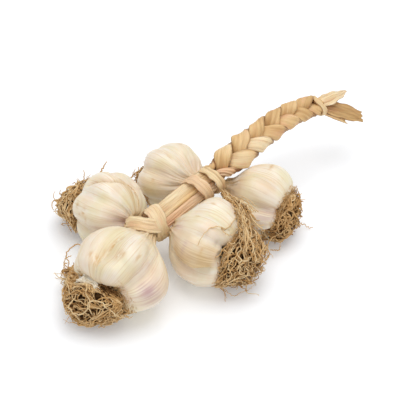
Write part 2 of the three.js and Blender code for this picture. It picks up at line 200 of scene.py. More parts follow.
def add_piece(name, parts, material, replaced=()):
    """One mesh from parts, each (points in layout millimetres, list of polygon arrays, attributes)."""
    points, loops, sizes, attributes, base = [], [], [], {}, 0
    for part_points, polygons, part_attributes in parts:
        flat = part_points.reshape(-1, 3)
        points.append(flat)
        for polygon in polygons:
            loops.append((polygon + base).ravel())
            sizes.append(np.full(len(polygon), polygon.shape[1]))
        for key, values in part_attributes.items():
            attributes.setdefault(key, []).append(values.reshape(len(flat), -1))
        base += len(flat)
    points = (np.concatenate(points) - PLAN_MIDDLE) * 0.001
    points[:, 2] = np.maximum(points[:, 2], 0)
    loops, sizes = np.concatenate(loops), np.concatenate(sizes)
    mesh = bpy.data.meshes.new(name)
    fields = ((mesh.vertices, "co", points.astype(np.float32)),
              (mesh.loops, "vertex_index", loops.astype(np.int32)),
              (mesh.polygons, "loop_start", (np.cumsum(sizes) - sizes).astype(np.int32)))
    for items, field, values in fields:
        items.add(len(values))
        items.foreach_set(field, values.ravel())
    mesh.polygons.foreach_set("use_smooth", np.ones(len(sizes), bool))
    for key, values in attributes.items():
        values = np.concatenate(values).astype(np.float32)
        kind, field = ("FLOAT_VECTOR", "vector") if values.shape[1] == 3 else ("FLOAT", "value")
        mesh.attributes.new(key, kind, "POINT").data.foreach_set(field, values.ravel())
    mesh.update(calc_edges=True)
    mesh.validate()
    mesh.materials.append(material)
    piece = add_object(name, mesh)
    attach(piece, "root")
    if replaced:
        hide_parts(*replaced)


def grid_polygons(rows, columns, capped=True):
    """Quads of a tube of closed rings, with a polygon over each end."""
    ring = np.arange(columns)
    after = (ring + 1) % columns
    start = (np.arange(rows - 1) * columns)[:, None]
    quads = np.stack([start + ring, start + after, start + columns + after, start + columns + ring], -1)
    polygons = [quads.reshape(-1, 4)]
    if capped:
        polygons += [ring[::-1][None], (ring + (rows - 1) * columns)[None]]
    return polygons


def raised(grid, amount):
    """The grid of closed rings moved along its own outward normals."""
    normal = unit(np.cross(np.roll(grid, -1, 1) - np.roll(grid, 1, 1), np.gradient(grid, axis=0)))
    outward = np.sign(np.sum((grid - grid.mean(1, keepdims=True)) * normal))
    return grid + normal * outward * amount[..., None]


def tubes(paths, radii, sides):
    """Tubes along paths (count, steps, 3) with radii (count, steps)."""
    count, steps = paths.shape[:2]
    tangent = unit(np.gradient(paths, axis=1))
    guide = unit(np.cross(tangent[:, 0], [0.31, 0.52, 0.79]))
    across = []
    for step in range(steps):
        guide = unit(guide - np.sum(guide * tangent[:, step], -1, keepdims=True) * tangent[:, step])
        across.append(guide)
    across = np.stack(across, 1)
    over = np.cross(tangent, across)
    turn = full_turn(sides)
    ring = across[:, :, None] * np.cos(turn)[:, None] + over[:, :, None] * np.sin(turn)[:, None]
    points = paths[:, :, None] + ring * radii[:, :, None, None]
    one = grid_polygons(steps, sides)
    start = (np.arange(count) * steps * sides)[:, None, None]
    return points, [(polygon[None] + start).reshape(-1, polygon.shape[1]) for polygon in one]


# ---- Materials ----

def srgb(red, green, blue):
    """A screen colour, 0 to 255, as the shader's linear one."""
    return tuple(((c / 255 + 0.055) / 1.055) ** 2.4 for c in (red, green, blue)) + (1,)


class Nodes:
    """A material's node tree, written as nested calls."""

    def __init__(self, name):
        self.material = bpy.data.materials.new(name)
        self.material.use_nodes = True
        self.tree = self.material.node_tree
        self.shader = self.tree.nodes["Principled BSDF"]

    def add(self, kind, inputs=(), **settings):
        node = self.tree.nodes.new("ShaderNode" + kind)
        for key, value in settings.items():
            setattr(node, key, value)
        for key, value in dict(inputs).items():
            self.put(node.inputs[key], value)
        return node

    def put(self, socket, value):
        if isinstance(value, bpy.types.NodeSocket):
            self.tree.links.new(value, socket)
        else:
            socket.default_value = value

    def attribute(self, name, output="Fac"):
        return self.add("Attribute", attribute_name=name).outputs[output]

    def place(self):
        return self.add("TexCoord").outputs["Object"]

    def noise(self, vector, *values):
        """Values are the scale, detail, roughness and, where there is any, the distortion."""
        names = ("Vector", "Scale", "Detail", "Roughness", "Distortion")
        return self.add("TexNoise", zip(names, (vector, *values))).outputs["Fac"]

    def streaks(self, vector, rate, *values):
        """Noise that runs along the vector's third coordinate, at a rate of its own there."""
        scaled = self.add("Mapping", {"Vector": vector, "Scale": (1, 1, rate)}).outputs[0]
        return self.noise(scaled, *values)

    def ramp(self, value, *stops):
        """Colours along a value, each stop being (position, red, green, blue)."""
        node = self.add("ValToRGB", {"Fac": value})
        elements = node.color_ramp.elements
        while len(elements) < len(stops):
            elements.new(0.5)
        for element, (position, *colour) in zip(elements, stops):
            element.position = position
            element.color = srgb(*colour)
        return node.outputs["Color"]

    def mix(self, share, a, b, blend="MIX"):
        inputs = {0: share, 6: a, 7: b}
        return self.add("Mix", inputs, data_type="RGBA", blend_type=blend).outputs[2]

    def laid(self, colour, over, most, value, low, high):
        """The colour with another over it, by 0 where the value is below low and by most above high."""
        inputs = {"Value": value, "From Min": low, "From Max": high}
        step = self.add("MapRange", inputs, interpolation_type="SMOOTHSTEP").outputs[0]
        share = self.add("Math", {0: most, 1: step}, operation="MULTIPLY").outputs[0]
        return self.mix(share, colour, over)

    def bump(self, *values):
        """Values are the height, strength, distance and, where there is one, the normal."""
        return self.add("Bump", zip(("Height", "Strength", "Distance", "Normal"), values)).outputs[0]

    def finish(self, **inputs):
        for key, value in inputs.items():
            self.put(self.shader.inputs[key.replace("_", " ")], value)
        return self.material


def skin_material():
    n = Nodes("garlic_skin")
    grain = n.attribute("grain", "Vector")
    veins = n.streaks(grain, 0.22, 32, 3, 0.6)
    bands = n.noise(grain, 5, 2, 0.5)
    cloudy = n.noise(n.place(), 45, 3, 0.5)
    colour = n.ramp(bands, (0.32, 240, 231, 214), (0.52, 236, 222, 196), (0.72, 229, 211, 179))
    tint = n.ramp(cloudy, (0.36, 252, 244, 242), (0.5, 255, 255, 255), (0.64, 249, 250, 236))
    colour = n.mix(1, colour, tint, "MULTIPLY")
    colour = n.laid(colour, srgb(214, 178, 122), 0.45, veins, 0.53, 0.68)
    tan = n.ramp(veins, (0.35, 226, 198, 146), (0.65, 190, 150, 96))
    colour = n.mix(n.attribute("tan"), colour, tan)
    colour = n.laid(colour, srgb(190, 152, 156), n.attribute("blush"), veins, 0.3, 0.62)
    spots = n.streaks(grain, 2.5, 16, 3, 0.6)
    colour = n.laid(colour, srgb(204, 156, 88), n.attribute("stain"), spots, 0.36, 0.52)
    bump = n.bump(veins, 0.25, 0.0003)
    return n.finish(Base_Color=colour, Roughness=0.36, Normal=bump, Specular_IOR_Level=0.5,
                    Subsurface_Weight=0.12, Subsurface_Radius=(0.004, 0.0025, 0.0014),
                    Subsurface_Scale=1)


def leaf_material():
    n = Nodes("dry_leaf")
    grain = n.attribute("grain", "Vector")
    fibres = n.streaks(grain, 0.04, 2.4, 4, 0.6)
    bands = n.streaks(grain, 0.15, 0.3, 3, 0.5)
    tone = n.attribute("tone")
    light = n.ramp(tone, (0, 208, 172, 116), (0.35, 232, 197, 142), (0.62, 247, 228, 190), (1, 234, 192, 154))
    dark = n.ramp(tone, (0, 166, 124, 74), (0.35, 202, 156, 100), (0.62, 230, 202, 154), (1, 228, 180, 140))
    colour = n.laid(light, dark, 0.8, bands, 0.36, 0.7)
    rosy = n.streaks(grain, 0.3, 0.22, 2, 0.5)
    colour = n.laid(colour, srgb(232, 178, 140), 0.45, rosy, 0.52, 0.72)
    threads = n.streaks(grain, 0.02, 5.5, 3, 0.6)
    colour = n.laid(colour, srgb(172, 124, 74), 0.3, threads, 0.5, 0.66)
    colour = n.laid(colour, srgb(168, 118, 68), 0.36, fibres, 0.54, 0.7)
    # Darker by this attribute: worn leaf edges, and painted shade in the folds and where a plait strand runs
    # under the others.
    colour = n.laid(colour, srgb(126, 80, 44), n.attribute("wear_and_shade"), fibres, 0.28, 0.56)
    bump = n.bump(threads, 0.3, 0.0003, n.bump(fibres, 0.4, 0.0004))
    return n.finish(Base_Color=colour, Roughness=0.5, Normal=bump, Specular_IOR_Level=0.36,
                    Subsurface_Weight=0.08, Subsurface_Radius=(0.003, 0.0016, 0.0008),
                    Subsurface_Scale=1)


def root_material():
    n = Nodes("dry_root")
    grain = n.noise(n.place(), 700, 3, 0.6)
    tone = n.attribute("tone")
    colour = n.ramp(tone, (0, 98, 66, 36), (0.3, 172, 128, 76), (0.65, 216, 174, 116), (1, 236, 210, 164))
    colour = n.laid(colour, srgb(156, 108, 56), 0.4, grain, 0.45, 0.7)
    return n.finish(Base_Color=colour, Roughness=0.8, Normal=n.bump(grain, 0.5, 0.0003),
                    Specular_IOR_Level=0.2)


def cloudy_material(name, noise, stops, roughness, bump, specular):
    n = Nodes(name)
    clouds = n.noise(n.place(), *noise)
    return n.finish(Base_Color=n.ramp(clouds, *stops), Roughness=roughness, Normal=n.bump(clouds, *bump),
                    Specular_IOR_Level=specular)


SKIN = skin_material()
LEAF = leaf_material()
ROOT = root_material()
FLAKE = cloudy_material("dry_flake", (260, 3, 0.6), [(0.35, 250, 246, 236), (0.58, 240, 228, 204),
                                                     (0.72, 206, 176, 130)], 0.55, (0.4, 0.0004), 0.3)
# The mat's inner body under the roots, coloured very dark as painted shade in the gaps between them.
CORE_SHADE = cloudy_material("root_core_shade", (380, 4, 0.65, 1.2), [(0.35, 50, 33, 17), (0.6, 88, 61, 32),
                                                          (0.8, 124, 90, 50)], 0.95, (1, 0.0012), 0.1)


# ---- Bulbs ----

def clove_reach(cloves, angle):
    """How far the cloves reach from the bulb's axis at an angle, in radii."""
    total = np.full(np.shape(angle), CORE_RADIUS**CLOVE_BLEND)
    for turn, half_width, reach in cloves:
        away = angle - math.radians(turn)
        off = reach - half_width
        inside = half_width**2 - (off * np.sin(away)) ** 2
        back = off * np.cos(away) + np.sqrt(np.maximum(inside, 0))
        total = total + np.where(inside > 0, np.maximum(back, 0), 0) ** CLOVE_BLEND
    return total ** (1 / CLOVE_BLEND)


def bulb_axes(bulb):
    """The bulb's frame as columns: side, axis from root plate to neck, and upper side."""
    heading, rise = math.radians(bulb["heading"]), math.radians(bulb["rise"])
    axis = np.array([math.cos(heading) * math.cos(rise), math.sin(heading) * math.cos(rise), math.sin(rise)])
    side = unit(np.cross(axis, [0, 0, 1]))
    return np.stack([side, axis, np.cross(side, axis)], 1)


def from_bulb(bulb, points):
    return points @ bulb_axes(bulb).T + np.array(bulb["middle"])


def bulb_points(bulb, t, angle):
    """Skin points in the bulb's frame: t runs from the root plate to the neck's end."""
    radius = bulb["diameter"] / 2
    outline = uniform_curve(BULB_OUTLINE, t)
    out, height = outline[..., 0], outline[..., 1]
    reach = clove_reach(bulb["cloves"], angle)
    show = lerp(1, 0.12, smooth(height, 0.75, 1.55)) * smooth(out, 0.3, 0.6)
    foot = CLOVE_DROP * (reach - 0.85) * smooth(out, 0.35, 0.6) * (1 - smooth(height, 0.05, 0.5))
    neck = (np.array(bulb["neck_end"]) - bulb["middle"]) @ bulb_axes(bulb) / radius
    bend = np.clip((height - NECK_START) / (NECK_TOP - NECK_START), 0, 1) ** 2
    wide = out * lerp(1, reach, show)
    x = wide * np.sin(angle) + neck[0] * bend
    z = wide * np.cos(angle) + neck[2] * bend
    y = height - foot - EQUATOR + (neck[1] + EQUATOR - NECK_TOP) * bend
    return np.stack([x, y, z], -1) * radius, height


def turned(angle, centre):
    """The angle away from a centre, within half a turn."""
    return (angle - centre + math.pi) % (2 * math.pi) - math.pi


def spots(places, angle, height):
    """Soft spots, each (angle in degrees, height, half angle in degrees, half height, strength)."""
    total = np.zeros(np.broadcast(angle, height).shape)
    for turn, level, wide, tall, strength in places:
        away = turned(angle, math.radians(turn)) / math.radians(wide)
        total = np.maximum(total, strength * np.exp(-(away**2) - ((height - level) / tall) ** 2))
    return total


# Marks on the skins: (angle in degrees, height in radii, half angle, half height, strength). Swells and
# hollows are in millimetres. A crease is a line between two (angle, height), with its depth in millimetres
# and how wide it opens in degrees to either side. Tan lines along lobe edges and creases are such lines in
# tan: on the right front bulb the lobe's own yellow, on the left front bulb painted shade in the crease
# under the rear lobe.
BULB_MARKS = {
    "end": dict(
        blush=[(78, 0.3, 13, 0.2, 0.8), (86, 0.32, 24, 0.26, 0.6), (78, 0.4, 34, 0.45, 0.25)],
        stain=[(355, 0.6, 2.8, 0.26, 1), (359, 0.82, 1.5, 0.14, 0.8), (14, 0.37, 4, 0.12, 0.7),
               (19, 0.4, 2.5, 0.09, 0.8), (35, 0.55, 1.6, 0.12, 1), (345, 0.14, 6, 0.09, 1),
               (336, 0.19, 3, 0.07, 0.8), (337, 0, 1.4, 0.1, 0.9), (350, 0.3, 1.5, 0.14, 0.7)],
        tan=[(352, 0.35, 26, 0.35, 0.3), (44, 0.2, 16, 0.3, 0.35)],
        creases=[(57, -0.1, 46, 1.15, 2.4, 14, 11), (8, -0.1, 4, 0.5, 0.8, 12, 12)],
        swells=[(32, 0.6, 14, 0.5, 0.8), (80, 0.3, 16, 0.3, 0.6), (5, 0.03, 50, 0.16, 5)],
    ),
    "left_front": dict(
        blush=[(60, 1.45, 22, 0.3, 0.7), (84, 1, 12, 0.3, 0.4)],
        stain=[(60, 0.52, 6, 0.05, 1), (55, 0.28, 4, 0.05, 1), (72, 0.62, 6, 0.04, 0.8),
               (66, 0.4, 2, 0.03, 0.8), (339, 1.15, 1.6, 0.3, 1)],
        tan=[(345, 1.2, 5, 0.3, 0.5), (100, 0.5, 20, 0.3, 0.2), (335, 0.85, 10, 0.2, 0.4)],
        # Painted shade: a tan line in the crease under the rear lobe.
        tan_and_shade_lines=[(20, 0.25, 1, 0.8, 0.55, 7, 1.6), (1, 0.8, -28, 1.16, 0.6, 7, 1.6)],
        creases=[(20, 0.25, 1, 0.8, 4.6, 9, 1.8), (1, 0.8, -28, 1.16, 4.8, 9, 1.8),
                 (62, 0.2, 48, 1.3, 0.5, 8, 8)],
        swells=[(26, 0.8, 15, 0.35, 1.4), (-16, 0.45, 14, 0.3, 1.4)],
        hollows=[(306, 0.9, 15, 0.3, 3.8), (296, 1.12, 14, 0.22, 2.6), (338, 0.6, 26, 0.25, 1)],
    ),
    "left_back": dict(
        blush=[(40, 1.1, 20, 0.3, 0.25)],
        stain=[(10, 0.9, 1.5, 0.12, 0.8), (330, 0.7, 2, 0.1, 0.6), (60, 0.8, 3, 0.05, 0.7)],
        tan=[(60, 0.9, 40, 0.4, 0.35)],
        creases=[(48, 0.1, 40, 1.2, 0.5, 8, 8), (6, 0.2, 2, 1.2, 0.4, 7, 7)],
        swells=[(-30, 0.6, 50, 0.6, 1.1), (-58, 1.25, 30, 0.3, 2)],
    ),
    "right_front": dict(
        blush=[(330, 1.25, 14, 0.16, 0.6), (300, 0.8, 14, 0.06, 0.45)],
        stain=[(20, 0.75, 1.5, 0.06, 0.8), (352, 0.9, 1.2, 0.08, 0.7), (310, 0.4, 4, 0.03, 0.7)],
        tan=[(304, 0.45, 16, 0.3, 0.4), (30, 0.35, 16, 0.12, 0.25)],
        tan_and_shade_lines=[(289, 0.1, 277, 0.5, 1, 2, 24), (277, 0.5, 286, 1.15, 0.9, 2, 22)],
        creases=[(287, 0.1, 274, 0.5, 5.4, 13, 2.2), (274, 0.5, 282, 1.15, 5, 13, 2.2),
                 (330, -0.1, 324, 0.7, 2.2, 9, 9)],
        swells=[(299, 0.45, 15, 0.34, 1.6), (352, 0.7, 20, 0.5, 0.6)],
        hollows=[(330, 0.1, 13, 0.14, 3.2), (310, 0, 16, 0.1, 3)],
    ),
    "right_back": dict(
        blush=[(294, 0.2, 24, 0.34, 0.6), (276, 0.2, 16, 0.25, 0.4)],
        stain=[(28, 0.66, 8, 0.04, 1), (40, 0.6, 4, 0.03, 0.8), (5, 0.5, 1.2, 0.2, 0.5)],
        tan=[(320, 1.1, 50, 0.3, 0.4), (0, 0.7, 30, 0.5, 0.2), (330, 0.6, 20, 0.5, 0.25)],
        creases=[(316, -0.1, 300, 0.62, 1.5, 9, 6)],
        swells=[(302, 0.85, 13, 0.25, 1.6), (270, 1, 16, 0.3, 0.8), (340, 0.4, 14, 0.4, 0.6),
                (15, 0.6, 40, 0.6, 0.7)],
    ),
}
BULB_ROWS = 104
BULB_COLUMNS = 180


def creased(creases, angle, height):
    """Soft lines over the skin, each as BULB_MARKS gives a crease."""
    total = 0
    for angle0, height0, angle1, height1, depth, lower, upper in creases:
        share = np.clip((height - height0) / (height1 - height0), 0, 1)
        centre = np.radians(lerp(angle0, angle1, share))
        away = np.degrees(turned(angle, centre))
        reach = smooth(height, height0 - 0.1, height0 + 0.1)
        reach = reach * (1 - smooth(height, height1 - 0.12, height1 + 0.1))
        total = total + depth * reach * np.exp(-np.abs(away / np.where(away < 0, lower, upper)) ** 1.4)
    return total


def add_bulb(name, bulb, seed):
    t = np.linspace(0.001, 1, BULB_ROWS)[:, None]
    angle = full_turn(BULB_COLUMNS)[None]
    points, height = bulb_points(bulb, np.broadcast_to(t, (BULB_ROWS, BULB_COLUMNS)), angle)
    marks = BULB_MARKS[name]
    blush, stain, tan, swells, hollows = (
        spots(marks.get(kind, ()), angle, height) for kind in ("blush", "stain", "tan", "swells", "hollows"))
    creases, tan_and_shade_lines = (creased(marks.get(kind, ()), angle, height) for kind in ("creases", "tan_and_shade_lines"))
    neck = smooth(height, 0.95, 1.5)
    relief = 0.3 * around(seed, (1, 2), (4, 8))(angle, height)
    relief = relief + (0.03 + 0.13 * neck) * around(seed + 1, (24, 0.3), (64, 1.6), 14)(angle, height)
    relief = relief + 0.5 * neck * around(seed + 2, (7, 0.3), (16, 1.2))(angle, height)
    relief = relief - creases + swells - hollows
    points = raised(points, relief * smooth(t, 0, 0.12))
    plate = 0.5 * (1 - smooth(height, -0.02, 0.1)) * (1 - smooth(t, 0.1, 0.4))
    # The tan attribute also carries the tan lines, which on the left front bulb are painted shade in a
    # crease.
    attributes = dict(
        grain=np.stack(np.broadcast_arrays(np.cos(angle), np.sin(angle), 0.16 * height), -1),
        blush=blush,
        stain=0.8 * stain,
        tan=np.clip(0.75 * smooth(height, 1.3, 1.75) + plate + tan + tan_and_shade_lines, 0, 1),
    )
    part = (from_bulb(bulb, points), grid_polygons(BULB_ROWS, BULB_COLUMNS), attributes)
    add_piece(f"{name}_bulb_skin", [part], SKIN, [f"bulb_{name}"])


# ---- Root mats ----

def mat_edge(angle, phase):
    return (1 + 0.09 * np.sin(2 * angle + phase) + 0.07 * np.sin(3 * angle + 2.3 * phase)
            + 0.04 * np.sin(7 * angle + 3.1 * phase))


def mat_lump(angle, out, phase):
    return (1.1 * np.sin(5 * angle + phase + 7 * out) * np.cos(9 * out - phase)
            + 0.6 * np.sin(11 * angle - 16 * out))


def foot_height(out):
    beyond = np.clip((out - FOOT_RADIUS) / (1 - FOOT_RADIUS), 0, 0.93)
    return EQUATOR * (1 - np.sqrt(1 - beyond**2))


def mat_points(bulb, out, angle, depth):
    """Points in the bulb's frame: depth is 0 on the bulb and 1 on the mat's outer face."""
    radius, mat = bulb["diameter"] / 2, bulb["mat"]
    edge = mat_edge(angle, mat["phase"])
    moved = np.maximum(out * out, depth)
    x = np.sin(angle) * out * edge * mat["radii"][0] + mat["shift"][0] * moved
    z = np.cos(angle) * out * edge * mat["radii"][1] + mat["shift"][1] * moved
    reach = clove_reach(bulb["cloves"], np.arctan2(x, z))
    foot = (foot_height(np.hypot(x, z) / (radius * reach)) - EQUATOR) * radius - MAT_CLEARANCE
    bulge = mat["thickness"] * np.sqrt(1 - 0.7 * np.minimum(1, out * out))
    return np.stack([x, foot - depth * (bulge + mat_lump(angle, out, mat["phase"])), z], -1)


MAT_REACH = 1.2


def mat_directions(polar, turn):
    """Directions from the mat's middle: polar is 0 straight outwards, and turn goes round."""
    flat = np.sin(polar)
    return np.stack(np.broadcast_arrays(flat * np.sin(turn), -np.cos(polar), flat * np.cos(turn)), -1)


def on_mat(bulb, direction, layer):
    """The mat's point in a direction from its middle, -y being outwards. layer is 1 on its surface."""
    facing = -direction[..., 1]
    for *towards, amount in bulb["loose"]:
        layer = layer * (1 + amount * smooth(direction @ unit(np.array(towards)), 0, 1))
    out = np.minimum(np.maximum(1 - np.maximum(facing, 0) ** 2, 0) ** 0.42 * layer, MAT_REACH)
    depth = np.clip((facing + 0.2) / 1.2, 0, 1) ** 0.85 * layer
    return mat_points(bulb, out, np.arctan2(direction[..., 0], direction[..., 2]), depth)


ROOT_STEPS = 28
ROOT_SIDES = 4
CORE_ROWS = 40
CORE_COLUMNS = 72
CORE_LAYER = 0.7
HAIRS = 620
HAIR_STEPS = 6
HAIR_SIDES = 3
MAT_RADIUS = 19


def wiggle(rng, along, *kinds):
    """Random sines along every root, each kind being (size, shortest and longest wave)."""
    each = (len(along), 1)
    total = 0
    for size, shortest, longest in kinds:
        wavelength = rng.uniform(shortest, longest, each)
        size = rng.normal(0, size, each)
        total = total + size * np.sin(2 * math.pi * along / wavelength + rng.uniform(0, 6.3, each))
    return total


def some_tones(rng, mean, spread, count):
    return np.clip(rng.normal(mean, spread, (count, 1)), 0, 1)


def square_to(rng, direction):
    return unit(np.cross(direction, rng.normal(size=direction.shape)))


def tangled_roots(bulb, count, seed):
    """Curly, kinked roots that wander over the mat in layers."""
    rng = np.random.default_rng(seed)
    each = (count, 1)
    place = rng.normal(size=(count, 3)) - [0, 0.7, 0]
    place[:, 1] = np.minimum(place[:, 1], 0.15)
    place = unit(place)
    going = square_to(rng, place)
    length = rng.uniform(10, 42, each)
    along = length * np.linspace(0, 1, ROOT_STEPS)
    heading = wiggle(rng, along, (0.45, 6, 13), (0.25, 3.5, 6), (1, 15, 40))
    for _ in range(3):
        heading = heading + rng.normal(0, 0.7, each) * (along > rng.uniform(0, 1, each) * length)
    deep = rng.random(each) < 0.4
    layer = np.where(deep, rng.uniform(0.68, 0.86, each), rng.uniform(0.86, 1.02, each))
    layer = layer + wiggle(rng, along, (0.05, 6, 14))
    layer = layer + (rng.random(each) < 0.3) * 0.2 * smooth(along / length, 0.7, 1)
    clumps = waves(seed + 9, (2, 2, 2), (6, 6, 6), 8)
    turn = np.diff(heading, axis=1, prepend=heading[:, :1])
    step = length[:, 0] / ROOT_STEPS / MAT_RADIUS
    paths = []
    for i in range(ROOT_STEPS):
        paths.append(on_mat(bulb, place, layer[:, i] + 0.05 * clumps(*place.T)))
        bend = turn[:, i : i + 1]
        going = unit(going * np.cos(bend) + np.cross(place, going) * np.sin(bend))
        place = place + going * step[:, None]
        place[:, 1] = np.minimum(place[:, 1], 0.2)
        place = unit(place)
        going = unit(going - np.sum(going * place, -1, keepdims=True) * place)
    thick = rng.choice([0.26, 0.36, 0.5], each, p=[0.35, 0.4, 0.25]) * rng.uniform(0.85, 1.15, each)
    ends = np.linspace(0, 1, ROOT_STEPS)
    taper = np.minimum(1, 0.35 + 4 * (1 - ends)) * np.minimum(1, 0.6 + 4 * ends)
    knots = 1 + wiggle(rng, along, (0.12, 1.5, 4))
    # Painted shade: roots deeper in the mat are darker and the outer ones lighter; the rest is each root's
    # own tone.
    tone = 0.05 - bulb["mat"]["shade"] + 0.74 * smooth(layer, 0.74, 1) + rng.normal(0, 0.2, each)
    return np.stack(paths, 1), thick * taper * knots, np.clip(tone, 0, 1)


def stray_roots(bulb, count, seed):
    """Roots that arch over the mat and end in the air."""
    rng = np.random.default_rng(seed)
    each = (count, 1)
    place = unit(rng.normal(size=(count, 3)) - [0, 0.35, 0])
    base, above = on_mat(bulb, place, np.full(count, 0.93)), on_mat(bulb, place, np.full(count, 1.03))
    outward = unit(above - base)
    sideways = square_to(rng, outward)
    t = np.linspace(0, 1, ROOT_STEPS)[None]
    along = rng.uniform(5, 14, each) * t
    rise = rng.uniform(1, 3.6, each) * np.sin(np.clip(t * rng.uniform(1.4, 2.8, each), 0, 3))
    aside = along * rng.uniform(0.5, 1, each) + wiggle(rng, along, (0.6, 4, 8))
    drift = wiggle(rng, along, (1.3, 6, 14), (0.4, 2.5, 4))
    paths = paths_from(base, (outward, rise), (sideways, aside), (np.cross(outward, sideways), drift))
    radii = rng.uniform(0.22, 0.44, each) * (1 - 0.5 * t)
    return paths, radii, some_tones(rng, 0.66, 0.14, count)


def root_fuzz(bulb, count, seed):
    """Short hairs in the cleft between the skin and the mat."""
    rng = np.random.default_rng(seed)
    each = (count, 1)
    base, _ = bulb_points(bulb, rng.uniform(0.19, 0.3, count), rng.uniform(0, 2 * math.pi, count))
    outward = unit(base * [1, 0, 1] * 0.6 - [0, 14, 0] + rng.normal(0, 5, (count, 3)))
    sideways = square_to(rng, outward)
    t = np.linspace(0, 1, HAIR_STEPS)[None]
    along = rng.uniform(1.5, 4.5, each) * t
    paths = paths_from(base, (outward, along * 0.8 + wiggle(rng, along, (0.2, 2, 5))),
                       (sideways, along * 0.4 + wiggle(rng, along, (0.4, 2, 4))))
    return paths, np.full(each, 0.15) * (1 - 0.5 * t), some_tones(rng, 0.75, 0.14, count)


def over_skin(bulb, places):
    """Layout points over a skin, each place being (angle in degrees, height, millimetres above it)."""
    t = np.linspace(0.3, 1, 500)
    out = []
    for angle, height, lift in places:
        points, heights = bulb_points(bulb, t, np.full(t.shape, math.radians(angle)))
        point = points[np.argmin(np.abs(heights - height))]
        outward = np.array([point[0], 0.35 * point[1], point[2]])
        out.append(point + unit(outward) * lift)
    return from_bulb(bulb, np.array(out))


def root_bundle(path, count, seed, spread, radius, curl=1):
    """Roots that run together along a path, with their spread at its start and its end."""
    rng = np.random.default_rng(seed)
    each = (count, 1)
    t = np.linspace(0, 1, ROOT_STEPS)[None]
    start, stop = rng.uniform(0, 0.2, each), 0.4 + 0.6 * rng.random(each) ** 1.5
    line = centripetal(path, start + (stop - start) * t)
    along = t * rng.uniform(18, 34, each)
    aside = rng.normal(0, 0.5, (count, 1, 3)) * lerp(spread[0], spread[1], t)[..., None]
    drift = [curl * wiggle(rng, along, (0.5, 8, 20), (0.3, 3, 6)) for _ in range(3)]
    tone = some_tones(rng, 0.74, 0.24, count)
    radii = radius * rng.uniform(0.6, 1.2, each) * (1 - 0.4 * t)
    return line + aside + np.stack(drift, -1), radii, tone


def root_part(roots, bulb=None, sides=ROOT_SIDES):
    """A part for add_piece. What would dip into the floor is bent up."""
    paths, radii, tone = roots
    if bulb is not None:
        paths = from_bulb(bulb, paths)
    paths[..., 2] = radii + np.where(paths[..., 2] < radii, 0.3, 1) * np.abs(paths[..., 2] - radii)
    points, polygons = tubes(paths, radii, sides)
    return points, polygons, dict(tone=np.broadcast_to(tone[..., None], points.shape[:3]))


# Single roots that stand off the mats: (radius, tone, points of the layout).
LOOSE_ROOTS = {
    "end": [
        (0.4, 0.6, [(-84, 19, 30), (-81.9, 26.6, 28.6), (-85.5, 28.4, 27.2), (-90.6, 28.6, 23.6),
                    (-91.7, 24.9, 19.9), (-94.2, 23.2, 16.7), (-97, 16, 14)]),
        (0.28, 0.7, [(-93, 20, 31), (-95.1, 23.9, 26.7), (-97.7, 22.3, 23.5), (-100.1, 19.8, 19.8),
                     (-101, 14, 16)]),
    ],
    "left_front": [
        (0.6, 0.6, [(-50, 56, 27), (-43.2, 54.4, 35.9), (-38.5, 55.4, 40.2), (-33.7, 55.6, 44),
                    (-30.4, 56.1, 46.9)]),
    ],
    "left_back": [
        (0.5, 0.5, [(0, 57, 20), (-6, 56, 21.5), (-11, 55, 20.5), (-14.5, 54, 17), (-17.5, 54, 12.5)]),
        (0.45, 0.45, [(0, 56, 16), (-6, 55, 17.5), (-11, 54, 15.5), (-14.5, 53.5, 11), (-14, 53, 7)]),
        (0.4, 0.55, [(0, 56, 18), (-5, 56, 14), (-9, 54.5, 13.5), (-11, 54, 8.5), (-8, 53, 4.5)]),
    ],
    "right_front": [
        (0.22, 0.75, [(-32, -52, 10), (-28, -58.3, 4.3), (-24.4, -60, 5.7), (-20, -62.7, 7.1),
                      (-15, -64, 9.8)]),
    ],
    "right_back": [
        (0.5, 0.75, [(30, -52, 22), (29, -49.8, 18), (24.7, -48.6, 15.6), (20.6, -46.3, 14.2),
                     (16.1, -46.2, 10.9), (13.6, -48.7, 7.1), (10.2, -50.3, 3.3)]),
        (0.3, 0.7, [(17, -47.5, 5.6), (19.3, -49.8, 5.6), (21.1, -51.6, 5.6), (24.5, -50, 9.4),
                    (28.1, -51, 11.3)]),
    ],
}
# Roots and torn fibres that lie over a skin: (radius, places for over_skin).
OVER_SKINS = {
    "left_front": [
        (0.28, [(340, 1.07, 0.3), (336, 1.13, 0.5), (332, 1.2, 0.5), (328, 1.28, 0.5), (325, 1.38, 0.4),
                (323, 1.5, 0.4)]),
    ],
    "right_front": [
        (0.42, [(52, 0.3, 0.9), (38, 0.35, 1.3), (20, 0.18, 1), (355, 0.2, 0.8), (348, 0.3, 2.5),
                (341, 0.43, 1.2), (329, 0.49, 1.4), (307, 0.52, 0.8)]),
        (0.36, [(352, 0.26, 0.9), (350, 0.24, 1.2), (346, 0.14, 1.5), (356, 0.05, 2), (5, 0, 3)]),
    ],
}
# The tuft that runs up the right front bulb: over its skin, from there to the wraps, and from the mat to it.
TUFT_ON_SKIN = [(54, -0.02, 5), (45, 0.03, 3), (40, 0.16, 1.8), (44, 0.34, 1.6), (52, 0.54, 1.6),
                (64, 0.74, 1.8)]
TUFT_TO_WRAP = [(5, -21, 41), (9, -13.5, 40), (12, -7.5, 36)]
MAT_TO_TUFT = [(-20, -59.5, 33.5), (-17, -56.5, 36.5), (-13.2, -52.5, 40), (-9.8, -48.3, 43.8),
               (-7.3, -44, 46.8), (-4.3, -38.5, 49.3)]


def lone_root(radius, tone, path):
    """One root along a path, with small kinks."""
    seed = int(10 * path[0][0]) % 97
    t = np.linspace(0, 1, 2 * ROOT_STEPS)
    kinks = [waves(seed + k, 0.9, 2.4, 5)(40 * t) for k in range(3)]
    line = centripetal(path, t) + 0.22 * np.stack(kinks, -1)
    return line[None], radius * (1 - 0.5 * t[None] ** 2), np.full((1, 1), tone)


